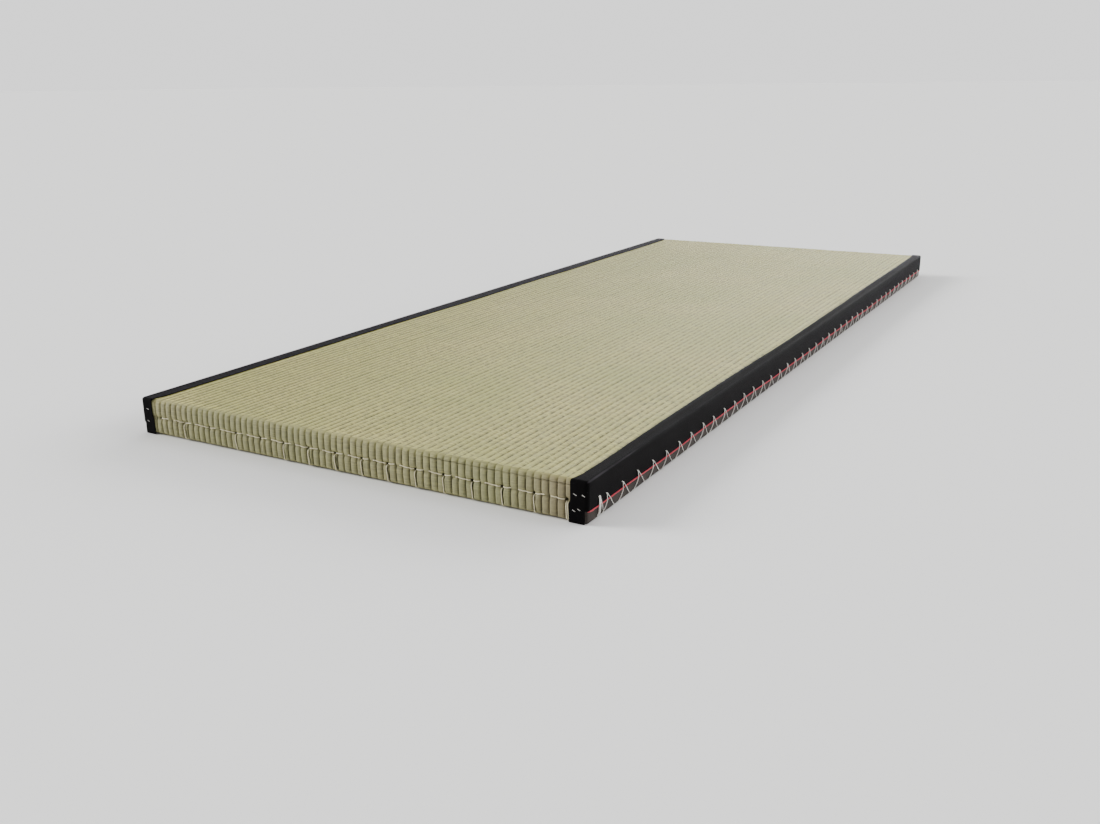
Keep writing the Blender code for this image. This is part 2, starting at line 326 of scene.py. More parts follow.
def near_rows():
    """Rows of the near end, from the underside up to the top."""
    wall = -CREST_END
    lower = turn_rows(wall + LOWER_RADIUS, FOOT + LOWER_RADIUS, LOWER_RADIUS, 270, 180, 5)
    upper = turn_rows(wall + UPPER_RADIUS, CREST_TOP - UPPER_RADIUS, UPPER_RADIUS, 180, 90, 14)
    return lower + [(wall, height * MM, -1.0, 0.0) for height in WALL_ROWS] + upper


def profile_rows():
    """Every row from the near underside over the top to the far underside, as an array."""
    near = near_rows()
    start = near[-1][0]
    beside_fold = [start + away * MM for away in FOLD_ROWS]
    even = np.linspace(start, -start, TOP_ROWS + 1)[1:-1]
    places = beside_fold + list(even) + [-y for y in reversed(beside_fold)]
    top = [(y, CREST_TOP, 0.0, 1.0) for y in places]
    far = [(-y, z, -out_y, out_z) for y, z, out_y, out_z in reversed(near)]
    return np.array(near + top + far)


rows = profile_rows()
steps = np.hypot(np.diff(rows[:, 0]), np.diff(rows[:, 1]))
row_length = np.concatenate([[0.0], np.cumsum(steps)])
print("rows:", len(rows), "rush from end to end:", round(row_length[-1], 3), "m")

# %% [markdown]
# The ribs have an even pitch with every other one a little wider, and a chance unevenness that is the
# same each time because its numbers are seeded. The needle holes are given in millimetres from the left
# edge of the mat. A rib is narrow and deep at its edges, so its columns are closer there, and ribs
# beside a needle hole get more columns, for the creases that the thread pulls.

# %% Ribs and columns of the facing
PITCH = 0.0115
FIRST_GROOVE = -0.3702
GROOVE_COUNT = 67
ALTERNATION = 0.019
HOLE_PLACES = (37.5, 91.5, 144.1, 199.1, 249.9, 295.9, 343.8, 392.4,
               439.9, 485.1, 533.1, 579.3, 625.1, 671.7, 720.2, 767.2)
HOLES = [place * MM - HALF_WIDTH for place in HOLE_PLACES]
BODY_SIDE = 0.3970
RIB_STEPS = (0.0, 0.05, 0.13, 0.28, 0.5, 0.72, 0.87, 0.95)
PULLED_RIB_STEPS = tuple(step / 14 for step in range(14))

chance = np.random.RandomState(11)
groove_number = np.arange(-1, GROOVE_COUNT + 1)
GROOVES = FIRST_GROOVE + groove_number * PITCH
GROOVES += ALTERNATION * PITCH * np.where(groove_number % 2, 0.5, -0.5)
GROOVES += chance.uniform(-0.18, 0.18, len(GROOVES)) * MM
rib_count = len(GROOVES)
crest_top_error = chance.uniform(-0.12, 0.06, rib_count) * MM
crest_end_error = chance.uniform(-0.5, 0.1, rib_count) * MM
rib_phase = chance.uniform(0, 2 * math.pi, rib_count)
crease_share = chance.uniform(0.65, 1.0, rib_count)


def rib_place(x):
    """Rib number, with its fraction, at a place across the mat."""
    return np.interp(x, GROOVES, np.arange(rib_count))


def rib_and_groove(x):
    """The number of the rib at a place, and how near its grooves are: 0 on the crest, 1 in a groove."""
    place = rib_place(x)
    rib = np.clip(place.astype(int), 0, rib_count - 1)
    return rib, np.abs(2 * (place - rib) - 1)


def facing_columns():
    """Places of the columns across the mat, borders' hidden margins included."""
    inner = []
    for index in range(rib_count - 1):
        left, right = GROOVES[index], GROOVES[index + 1]
        beside_hole = any(left - 6 * MM < hole < right + 2 * MM for hole in HOLES)
        inner += [left + t * (right - left) for t in (PULLED_RIB_STEPS if beside_hole else RIB_STEPS)]
    shown = [x for x in inner if LEFT_LIMIT < x < RIGHT_LIMIT]
    left_margin = [-BODY_SIDE, -BODY_SIDE + 3 * MM, LEFT_LIMIT - 4 * MM]
    right_margin = [RIGHT_LIMIT + 3 * MM, BODY_SIDE - 3 * MM, BODY_SIDE]
    return np.array(left_margin + shown + right_margin)


columns = facing_columns()
print("columns:", len(columns), "ribs:", GROOVE_COUNT)

# %% [markdown]
# The depth of each point below the crest of the ribs adds up what happens to the real rush: the groove
# between two ribs, the dent of the running stitch across the end, a pit at each needle hole, the crease
# that a thread pulls from there to the lower edge, and the loose lip on the right of the near end.
# Where a thread or a crease leaves a hollow, the point also keeps a value for the finish: how much
# shade is painted there.

# %% Depth of the rush
GROOVE_DEPTH_TOP = 1.8 * MM
GROOVE_DEPTH_END = 3.8 * MM
GROOVE_DEPTH_FOLD = 0.55 * MM
FOLD_FADE = 9 * MM
GROOVE_SHARPNESS = 5.4
END_BULGE = 1.6 * MM
LINE_DENT = 1.8 * MM
LINE_REACH = 4.0 * MM
HOLE_DEPTH = 3.2 * MM
HOLE_RADIUS = 2.0 * MM
FUNNEL_DEPTH = 1.8 * MM
FUNNEL_RADIUS = 4.5 * MM
PULL_DRIFT = 2.2 * MM
PULL_DENT = 0.5 * MM
PULL_WIDTH = 1.2 * MM
CREVICE_DEPTH = 1.2 * MM
CREVICE_AWAY = 1.6 * MM
CREVICE_WIDTH = 1.1 * MM
CREVICE_WAVE = 0.8 * MM
BUNCH_RISE = 0.5 * MM
BUNCH_AWAY = 4.6 * MM
BUNCH_WIDTH = 1.6 * MM
LIP_BELOW = 7.6 * MM
LIP_DEPTH = 1.3 * MM
LIP_RISE = 0.7 * MM
BORDER_TUCK = 0.6 * MM
MARGIN_DEPTH = 2.0 * MM
SWELL = 0.25 * MM
SWAY = 0.3 * MM
LONG_SWAY = 0.25 * MM
# how much shade is painted into the stitch line, a needle pit, a crevice and the lip crease
LINE_SHADE, PIT_SHADE, CREVICE_SHADE, LIP_SHADE = 0.3, 1.7, 0.95, 0.8
EDGE_DROP = {1: 5.0 * MM, -1: 0.0}
PULLS = (0.0, 1.0, 0.45, 1.0, 0.5) + (1.0,) * 11


def smooth_step(value, low, high):
    """0 below low, 1 above high, with an even S between."""
    t = np.clip((value - low) / (high - low), 0.0, 1.0)
    return t * t * (3 - 2 * t)


def hump(value, middle_value, reach):
    """1 at a value, falling to nothing on both sides over about twice the reach."""
    return np.exp(-((value - middle_value) / reach) ** 2)


def pull_line(hole, z):
    """Across the mat, where the thread pulled down from a hole lies at a height."""
    down = np.clip(1 - np.asarray(z) / STITCH_HEIGHT, 0.0, 1.0)
    return hole + PULL_DRIFT * down ** 1.2


def end_depth(x, z, near):
    """How far the rush on an end lies inside its crest plane, and how much shade is painted into its
    hollow there.
    """
    rib, across = rib_and_groove(x)
    depth = GROOVE_DEPTH_END * across ** GROOVE_SHARPNESS - crest_end_error[rib]
    inside = smooth_step(np.minimum(x - inner_edge(-1, 1.0), inner_edge(1, 1.0) - x), 0.0, 18 * MM)
    bulge = np.where(z > STITCH_HEIGHT, 1.0, 0.6) * END_BULGE
    depth -= bulge * inside * np.sin(math.pi * np.clip(z / CREST_TOP, 0, 1))
    depth += LINE_DENT * hump(z, STITCH_HEIGHT, LINE_REACH)
    # the hollow value is shade painted into the colour of the rush
    hollow_shade = LINE_SHADE * hump(z, STITCH_HEIGHT, 1.3 * MM)
    for number, (hole, pull) in enumerate(zip(HOLES, PULLS)):
        from_hole = np.hypot(x - hole, z - STITCH_HEIGHT)
        pit = hump(from_hole, 0.0, HOLE_RADIUS)
        depth += HOLE_DEPTH * pit + FUNNEL_DEPTH * hump(from_hole, 0.0, FUNNEL_RADIUS)
        hollow_shade = np.maximum(hollow_shade, PIT_SHADE * pit)
        from_line = x - pull_line(hole, z)
        below = pull * smooth_step(STITCH_HEIGHT - z, 1 * MM, 6 * MM)
        depth += PULL_DENT * below * hump(from_line, 0.0, PULL_WIDTH)
        wave = CREVICE_WAVE * np.sin(z / (2.4 * MM) + 1.7 * number)
        crevice = below * hump(from_line, CREVICE_AWAY + wave, CREVICE_WIDTH)
        depth += CREVICE_DEPTH * crevice
        depth -= BUNCH_RISE * below * hump(from_line, BUNCH_AWAY, BUNCH_WIDTH)
        hollow_shade = np.maximum(hollow_shade, CREVICE_SHADE * crevice)
    lip = (0.15 + 0.85 * near * smooth_step(x, 0.08, 0.18)) * crease_share[rib]
    level = CREST_TOP - LIP_BELOW - 0.8 * MM * across ** 2
    crease = hump(z, level, 0.8 * MM)
    depth += LIP_DEPTH * lip * crease - LIP_RISE * lip * hump(z, level + 2.2 * MM, 1.4 * MM)
    hollow_shade = np.maximum(hollow_shade, LIP_SHADE * lip ** 2 * crease)
    return depth, hollow_shade


def top_depth(x, y):
    """How far the rush on the top lies below its crest plane."""
    rib, across = rib_and_groove(x)
    swell = SWELL * (np.sin(y / 0.085 + rib_phase[rib]) + np.sin(y / 0.31 + 7 * x)) - SWELL
    swell = np.minimum(swell, 0.0)
    from_fold = CREST_END - UPPER_RADIUS - np.abs(y)
    at_fold = np.exp(-np.clip(from_fold, 0, 1) / FOLD_FADE)
    groove = GROOVE_DEPTH_TOP + (GROOVE_DEPTH_FOLD - GROOVE_DEPTH_TOP) * at_fold
    return groove * across ** 2.4 - crest_top_error[rib] - swell


def facing_points():
    """Place every point of the facing; return places, weave coordinates and the shade painted into
    hollows.
    """
    x = np.repeat(columns[None, :], len(rows), axis=0)
    y, z, out_y, out_z, length = (np.repeat(values[:, None], len(columns), axis=1)
                                  for values in (*rows.T, row_length))
    near_depth, near_hollow_shade = end_depth(x, z, True)
    far_depth, far_hollow_shade = end_depth(x, z, False)
    on_end = smooth_step(np.abs(out_y), 0.62, 1.0)
    at_end = np.where(y < 0, near_depth, far_depth)
    hollow_shade = np.where(y < 0, near_hollow_shade, far_hollow_shade) * on_end
    depth = on_end * at_end + (1 - on_end) * top_depth(x, y)
    depth = np.where(out_z < 0, depth * (1 + out_z), depth)
    from_border = np.minimum(x - inner_edge(-1, y), inner_edge(1, y) - x)
    tucked = smooth_step(-from_border, -2.0 * MM, 0.5 * MM)
    depth += tucked * BORDER_TUCK
    from_limit = np.minimum(x - LEFT_LIMIT, RIGHT_LIMIT - x)
    margin = from_limit < 0
    under_border = MARGIN_DEPTH + EDGE_DROP[1] * smooth_step(-from_limit, 3 * MM, 9 * MM)
    depth = np.where(margin, under_border, depth)
    rib, _ = rib_and_groove(x)
    sway = SWAY * np.sin(length / 0.012 + rib_phase[rib])
    sway += LONG_SWAY * np.sin(length / 0.11 + x / 0.05)
    moved = x + np.where(margin, 0.0, sway * smooth_step(from_limit, 0.0, 4 * MM))
    points = np.stack([moved, y - depth * out_y, z - depth * out_z], axis=-1)
    points[:, [0, -1], 2] = np.clip(points[:, [0, -1], 2], FOOT + 3 * MM, CREST_TOP - 4 * MM)
    points[:, [0, -1], 1] = np.clip(points[:, [0, -1], 1], -CREST_END + 5 * MM, CREST_END - 5 * MM)
    weave = np.stack([np.repeat(rib_place(columns)[None, :], len(rows), axis=0), length], axis=-1)
    return points.reshape(-1, 3), weave.reshape(-1, 2), np.clip(hollow_shade, 0, 1).reshape(-1)


points, weave, hollow_shade = facing_points()
print("points:", len(points), "hollow points:", int((hollow_shade > 0.5).sum()))

# %% [markdown]
# ## The finish of the rush
#
# Rush is a thin green-gold stalk, dried, so it is matt across and a little silky along its length. The
# stalks lie across each rib, about 1.6 mm apart, and under the warps they change over, so the next rib
# shows them half a step further. Stalks differ in colour, small bundles of them even more, and one stalk
# can be followed across many ribs as a pale or brown streak. Painted shade makes the groove between two
# ribs a line of dark dashes, plainer on the left, and darkens the gaps between stalks. The ends are
# painted greyer than the top, as they look in half shade. All of it is drawn on the "Weave" map, which
# counts ribs across the mat and metres along it, and the hollows get painted shade as well.

# %% Rush material
STALK_PITCH = 1.6 * MM
BUNDLE_LENGTH = 3.2 * MM
DASH_LENGTH = 13.0 * MM
WHOLE_RUN = float(row_length[-1])
HALF_TOP_RUN = WHOLE_RUN / 2 - float(row_length[np.argmax(rows[:, 3] > 0.3)])


def dried_rush():
    """Dried igusa rush, woven: satin stalks in straw and green, with shade painted into the grooves."""
    material, tree, shader, place = new_material("dried_rush_weave")
    weave_map = add(tree, "UVMap", uv_map="Weave")
    split = add(tree, "SeparateXYZ", {0: weave_map}).node
    across, along = split.outputs[0], split.outputs[1]

    # Ribs: their number, and how near a point is to a groove, from 0 on the crest to 1 in the groove.
    rib = add(tree, "Math", {0: across}, operation="FLOOR")
    nearest_groove = add(tree, "Math", {0: across}, operation="ROUND")
    from_groove = add(tree, "Math", {0: across, 1: 0.5}, operation="PINGPONG")
    groove = add(tree, "Math", {0: from_groove, 1: -2.0, 2: 1.0}, operation="MULTIPLY_ADD")

    # Stalks: shifted by half a step on every other rib, and wavering a little.
    odd = add(tree, "Math", {0: rib, 1: 2.0}, operation="MODULO")
    wobble = add(tree, "TexNoise", {"Vector": place, "Scale": 60.0, "Detail": 1.0})
    shift = add(tree, "Math", {0: odd, 1: 0.5, 2: wobble}, operation="MULTIPLY_ADD")
    stalk = add(tree, "Math", {0: along, 1: 1 / STALK_PITCH, 2: shift}, operation="MULTIPLY_ADD")
    number = add(tree, "Math", {0: stalk}, operation="FLOOR")
    from_edge = add(tree, "Math", {0: stalk, 1: 0.5}, operation="PINGPONG")
    roundness = add(tree, "MapRange", {"Value": from_edge, "From Max": 0.4},
                    interpolation_type="SMOOTHERSTEP")

    # Tone: each stalk's own, that of its bundle, and streaks that run on across the ribs.
    stalk_at = add(tree, "CombineXYZ", {0: rib, 1: number})
    own = add(tree, "TexWhiteNoise", {"Vector": stalk_at}, noise_dimensions="2D")
    bundle_at = add(tree, "Mapping", {"Vector": weave_map, "Scale": (1.9, 1 / BUNDLE_LENGTH, 1.0)})
    bundle = add(tree, "TexNoise", {"Vector": bundle_at, "Scale": 1.0, "Detail": 2.0},
                 noise_dimensions="2D")
    streak_at = add(tree, "Mapping", {"Vector": weave_map, "Scale": (0.07, 0.8 / STALK_PITCH, 1.0)})
    streak = add(tree, "TexNoise", {"Vector": streak_at, "Scale": 1.0, "Detail": 1.0},
                 noise_dimensions="2D")
    own_tone = add(tree, "Math", {0: own, 1: 0.32, 2: 0.34}, operation="MULTIPLY_ADD")
    streaked = add(tree, "Math", {0: streak, 1: 0.7, 2: bundle}, operation="MULTIPLY_ADD")
    centred = add(tree, "Math", {0: streaked, 1: 0.85}, operation="SUBTRACT")
    from_middle = add(tree, "Math", {0: along, 1: WHOLE_RUN / 2}, operation="SUBTRACT")
    to_middle = add(tree, "Math", {0: from_middle}, operation="ABSOLUTE")
    past_fold = add(tree, "Math", {0: to_middle, 1: HALF_TOP_RUN}, operation="SUBTRACT")
    on_top = add(tree, "MapRange", {"Value": past_fold, "From Min": 1 * MM, "From Max": -12 * MM})
    mixed_share = add(tree, "MapRange", {"Value": on_top, "To Min": 0.35, "To Max": 0.62})
    tone = add(tree, "Math", {0: centred, 1: mixed_share, 2: own_tone}, operation="MULTIPLY_ADD")
    ramp = add(tree, "ValToRGB", {0: tone}).node
    ramp.color_ramp.elements[0].position = 0.12
    ramp.color_ramp.elements[0].color = linear("#6f6a3a")
    ramp.color_ramp.elements[1].position = 0.88
    ramp.color_ramp.elements[1].color = linear("#e6dd8d")

    # Green patches, brown ribs at the right of the ends, and ends painted greyer than the top, as they
    # look in half shade.
    patch = add(tree, "TexNoise", {"Vector": place, "Scale": 5.0, "Detail": 2.0})
    greenness = add(tree, "MapRange", {"Value": patch, "From Min": 0.3, "From Max": 0.75, "To Max": 0.7})
    green = add(tree, "Mix", {0: greenness, 6: ramp.outputs[0], 7: linear("#a0a55e")}, data_type="RGBA")
    sideways = add(tree, "SeparateXYZ", {0: place})
    brownest = add(tree, "MapRange", {"Value": on_top, "To Min": 0.6, "To Max": 0.0})
    brownness = add(tree, "MapRange", {"Value": sideways, "From Min": 0.28, "From Max": 0.36,
                    "To Max": brownest})
    brown = add(tree, "Mix", {0: brownness, 6: green, 7: linear("#8a6844")}, data_type="RGBA")
    end_shade_greyness = add(tree, "MapRange", {"Value": on_top, "To Min": 0.45, "To Max": 0.0})
    end_shade_greyed = add(tree, "Mix", {0: end_shade_greyness, 6: brown, 7: linear("#a2a18e")}, data_type="RGBA")

    # Painted shade: dark dashes in the grooves, which join up into plain lines on the left half of the
    # mat, dark gaps between stalks, and the hollows that the thread pulls.
    dash_at = add(tree, "CombineXYZ", {0: nearest_groove,
                  1: add(tree, "Math", {0: along, 1: 1 / DASH_LENGTH}, operation="MULTIPLY")})
    dash = add(tree, "TexNoise", {"Vector": dash_at, "Scale": 1.0, "Detail": 1.0}, noise_dimensions="2D")
    faintest_dash = add(tree, "MapRange", {"Value": sideways, "From Min": -0.25,
                        "From Max": 0.15, "To Min": 0.85, "To Max": 0.3})
    dash_strength = add(tree, "MapRange", {"Value": dash, "From Min": 0.38, "From Max": 0.60,
                        "To Min": faintest_dash, "To Max": 1.0})
    fold_middle = add(tree, "Math", {0: past_fold, 1: 1 * MM}, operation="ADD")
    from_fold = add(tree, "Math", {0: fold_middle}, operation="ABSOLUTE")
    off_fold = add(tree, "MapRange", {"Value": from_fold, "From Min": 4 * MM, "From Max": 8 * MM,
                   "To Min": 0.2, "To Max": 1.0})
    on_the_end = add(tree, "Math", {0: 1.0, 1: on_top}, operation="SUBTRACT")
    unbroken = add(tree, "Math", {0: dash_strength, 1: on_the_end}, operation="MAXIMUM")
    shown_dash = add(tree, "Math", {0: unbroken, 1: off_fold}, operation="MULTIPLY")
    top_sharpness = add(tree, "MapRange", {"Value": sideways, "From Min": -0.25,
                        "From Max": 0.15, "To Min": 2.0, "To Max": 2.6})
    sharpness = add(tree, "MapRange", {"Value": on_top, "To Min": 5.0, "To Max": top_sharpness})
    narrow = add(tree, "Math", {0: groove, 1: sharpness}, operation="POWER")
    groove_shade = add(tree, "Math", {0: narrow, 1: shown_dash}, operation="MULTIPLY")
    deepest_gap_shade = add(tree, "MapRange", {"Value": on_top, "To Min": 0.5, "To Max": 0.42})
    gap_shade = add(tree, "MapRange", {"Value": roundness, "To Min": deepest_gap_shade, "To Max": 0.0})
    dark = add(tree, "Math", {0: groove_shade, 1: gap_shade}, operation="MAXIMUM")
    with_painted_shade = add(tree, "Mix", {0: dark, 6: end_shade_greyed, 7: linear("#221f17")}, data_type="RGBA")
    # the shade painted into the hollows, kept on each point
    pit = add(tree, "Attribute", attribute_name="hollow_shade").node.outputs["Fac"]
    final = add(tree, "Mix", {0: pit, 6: with_painted_shade, 7: linear("#15100a")}, data_type="RGBA")

    # Relief: round stalks with fine fibres, sunk in the grooves.
    fibre_at = add(tree, "Mapping", {"Vector": weave_map, "Scale": (6.0, 9000.0, 1.0)})
    fibre = add(tree, "TexNoise", {"Vector": fibre_at, "Scale": 1.0, "Detail": 2.0}, noise_dimensions="2D")
    fibrous = add(tree, "Math", {0: fibre, 1: 0.25, 2: roundness}, operation="MULTIPLY_ADD")
    height = add(tree, "Math", {0: narrow, 1: -0.9, 2: fibrous}, operation="MULTIPLY_ADD")
    bump = add(tree, "Bump", {"Height": height, "Strength": 0.8, "Distance": 0.35 * MM})
    rough = add(tree, "Math", {0: own, 1: 0.16, 2: 0.46}, operation="MULTIPLY_ADD")
    set_inputs(shader, {"Base Color": final, "Normal": bump, "Roughness": rough, "IOR": 1.46,
                        "Specular IOR Level": 0.22, "Sheen Weight": 0.42, "Sheen Roughness": 0.3,
                        "Sheen Tint": linear("#ddd380")})
    return material


rush = dried_rush()
print("rush nodes:", len(rush.node_tree.nodes))

# %% [markdown]
# ## The rush facing
#
# A grid primitive has the same layout as the facing: one column of points for each place across the
# mat and one row for each place along the profile. So a grid is added, its points are moved to the
# places worked out above, and the open shape is closed in edit mode: bridging the two long loops under
# the mat makes its underside, and filling the two holes closes its sides.

# %% Rush facing
def set_weave_map(mesh):
    """Write the weave coordinates of every face corner, and the shade painted into the hollow at every
    point.
    """
    corner_points = np.empty(len(mesh.loops), dtype=np.int32)
    mesh.loops.foreach_get("vertex_index", corner_points)
    layer = mesh.uv_layers[0]
    layer.name = "Weave"
    layer.uv.foreach_set("vector", weave[corner_order[corner_points]].astype(np.float32).ravel())
    values = mesh.attributes.new("hollow_shade", "FLOAT", "POINT")
    values.data.foreach_set("value", hollow_shade[corner_order].astype(np.float32))


deselect()
bpy.ops.mesh.primitive_grid_add(x_subdivisions=len(columns) - 1, y_subdivisions=len(rows) - 1, size=2)
facing = bpy.context.object
grid = np.empty(len(facing.data.vertices) * 3)
facing.data.vertices.foreach_get("co", grid)
grid = grid.reshape(-1, 3)
column = np.rint((grid[:, 0] + 1) / 2 * (len(columns) - 1)).astype(int)
row = np.rint((grid[:, 1] + 1) / 2 * (len(rows) - 1)).astype(int)
corner_order = row * len(columns) + column
facing.data.vertices.foreach_set("co", points[corner_order].ravel())
set_weave_map(facing.data)

bpy.ops.object.mode_set(mode="EDIT")
choose("EDGE", lambda edge: edge.is_boundary and abs(edge.verts[0].co.x - edge.verts[1].co.x) > 0.1 * MM)
bpy.ops.mesh.bridge_edge_loops()
choose("EDGE", lambda edge: edge.is_boundary)
bpy.ops.mesh.fill_holes(sides=0)
bpy.ops.mesh.select_all(action="SELECT")
bpy.ops.mesh.normals_make_consistent(inside=False)
bpy.ops.object.mode_set(mode="OBJECT")
bpy.ops.object.shade_smooth()
finish_piece(facing, "rush_facing", rush, ["rush_mat"])

# %% [markdown]
# ## The border cloth
#
# The borders are black cotton, plain woven and a little fuzzy, so they stay dark from above and turn
# grey where the eye skims them: that is sheen. The threads are about 0.45 mm apart, too fine for the
# picture, so the weave is drawn at 0.9 mm. A wave along each of the three axes makes the weave: each
# flat face of the cloth shows two of them. A few specks of lint have settled on it.

# %% Border cloth material
WEAVE_PITCH = 0.9 * MM


def weave_waves(tree, place, pitch, share):
    """The height of a plain weave: a wave along each axis, of this share, added up."""
    finer = add(tree, "VectorMath", {0: place, "Scale": 2 * math.pi / pitch}, operation="SCALE")
    waves = add(tree, "VectorMath", {0: finer}, operation="SINE")
    return add(tree, "VectorMath", {0: waves, 1: (share, share, share)}, operation="DOT_PRODUCT")


def black_cotton():
    """Black plain-woven cotton, fuzzy with use: nearly no colour, grey at grazing angles."""
    material, tree, shader, place = new_material("black_cotton_weave")
    weave_height = weave_waves(tree, place, WEAVE_PITCH, 0.25)
    fuzz = add(tree, "TexNoise", {"Vector": place, "Scale": 900.0, "Detail": 3.0})
    worn = add(tree, "TexNoise", {"Vector": place, "Scale": 14.0, "Detail": 3.0})
    wear = add(tree, "MapRange", {"Value": worn, "From Min": 0.3, "From Max": 0.7})
    tone = add(tree, "Mix", {0: wear, 6: linear("#030203"), 7: linear("#080708")}, data_type="RGBA")
    lint = add(tree, "TexNoise", {"Vector": place, "Scale": 420.0, "Detail": 0.0})
    speck = add(tree, "MapRange", {"Value": lint, "From Min": 0.80, "From Max": 0.84, "To Max": 0.4})
    split = add(tree, "SeparateXYZ", {0: place}).node
    sideways = add(tree, "Math", {0: split.outputs[0]}, operation="ABSOLUTE")
    # A pale, broken line along the outer fold: partly wear, and partly a painted highlight where the fold
    # catches the light.
    outermost = add(tree, "MapRange", {"Value": sideways, "From Min": HALF_WIDTH - 2.8 * MM,
                    "From Max": HALF_WIDTH - 1.8 * MM})
    topmost = add(tree, "MapRange", {"Value": split.outputs[2], "From Min": MAT_HEIGHT - 2.8 * MM,
                  "From Max": MAT_HEIGHT - 1.8 * MM})
    fold_line = add(tree, "Math", {0: outermost, 1: topmost}, operation="MULTIPLY")
    rubbed_and_highlit = add(tree, "Math", {0: fold_line, 1: wear}, operation="MULTIPLY")
    pale = add(tree, "Math", {0: rubbed_and_highlit, 1: speck}, operation="MAXIMUM")
    colour = add(tree, "Mix", {0: pale, 6: tone, 7: linear("#343135")}, data_type="RGBA")
    height = add(tree, "Math", {0: fuzz, 1: 1.2, 2: weave_height}, operation="MULTIPLY_ADD")
    bump = add(tree, "Bump", {"Height": height, "Strength": 0.5, "Distance": 0.2 * MM})
    set_inputs(shader, {"Base Color": colour, "Normal": bump, "Roughness": 0.8,
                        "Specular IOR Level": 0.05, "Sheen Weight": 0.07, "Sheen Roughness": 0.18,
                        "Sheen Tint": linear("#c3b3d3")})
    return material


cotton = black_cotton()

# %% [markdown]
# Each border is one strip of cloth: over the top's edge, down the long side, and folded round both ends
# as flaps. It starts as a box of the border's outer size. Bevels round its folds, the faces that the
# real cloth doesn't have are deleted, subdividing gives it enough points to pucker, and Solidify
# gives it the thickness of the folded cloth.

# %% Border cloth
CLOTH = 1.2 * MM
FOLD_RADIUS = 4.2 * MM
FOLD_GROWTH = {1: 3.5 * MM, -1: 0.0}
CORNER_RADIUS = 5.5 * MM
SIDE_DROP = 40 * MM
FLAP_FOOT = 0.4 * MM
FLAP_FLARE = 2.4 * MM
FLARE_TOP = 28 * MM
EDGE_WAVE = 1.0 * MM
EDGE_WAVE_LENGTHS = (0.62, 0.23)
EDGE_REACH = 16 * MM
SIDE_DENT = 0.35 * MM
SIDE_RIPPLE = 0.12 * MM
TOP_DENT = 0.18 * MM
BORDER_ROWS = 260


def edge_wave(y):
    """How far the lower edge of a border wanders from its line."""
    long_wave, short_wave = EDGE_WAVE_LENGTHS
    turn = 2 * math.pi * y
    return EDGE_WAVE * (math.sin(turn / long_wave) + 0.5 * math.sin(turn / short_wave))


def border_cloth(side, inner):
    """One border: side is 1 on the right and -1 on the left, inner its edge on the top."""
    width = HALF_WIDTH - abs(inner)
    height = MAT_HEIGHT - FLAP_FOOT
    lower_edge = MAT_HEIGHT - SIDE_DROP
    outer = side * HALF_WIDTH
    centre = ((inner + outer) / 2, 0.0, FLAP_FOOT + height / 2)
    deselect()
    bpy.ops.mesh.primitive_cube_add(size=1.0, location=centre, scale=(width, 2 * HALF_LENGTH, height))
    cloth = bpy.context.object
    bpy.ops.object.transform_apply()
    bpy.ops.object.mode_set(mode="EDIT")
    choose("EDGE", lambda e: along_axis(e, 2) and side * middle(e).x > HALF_WIDTH - 1 * MM)
    bpy.ops.mesh.bevel(offset=CORNER_RADIUS, segments=6)
    choose("EDGE", lambda e: middle(e).z > MAT_HEIGHT - 0.1 * MM and abs(middle(e).x - inner) > 0.1 * MM)
    bpy.ops.mesh.bevel(offset=FOLD_RADIUS, segments=5)
    bpy.ops.mesh.select_all(action="SELECT")
    bpy.ops.mesh.bisect(plane_co=(0, 0, lower_edge), plane_no=(0, 0, 1))
    inward = lambda f: side * f.normal.x < -0.9
    under = lambda f: f.normal.z < -0.9
    low = lambda f: side * f.normal.x > 0.12 and f.calc_center_median().z < lower_edge
    choose("FACE", lambda f: inward(f) or under(f) or low(f))
    bpy.ops.mesh.delete(type="FACE")
    choose("EDGE", lambda e: along_axis(e, 1, 0.5))
    bpy.ops.mesh.subdivide(number_cuts=BORDER_ROWS - 1)
    choose("EDGE", lambda e: along_axis(e, 0, 8 * MM))
    bpy.ops.mesh.subdivide(number_cuts=4)
    choose("EDGE", lambda e: along_axis(e, 2, 12 * MM))
    bpy.ops.mesh.subdivide(number_cuts=5)
    bpy.ops.object.mode_set(mode="OBJECT")
    return cloth


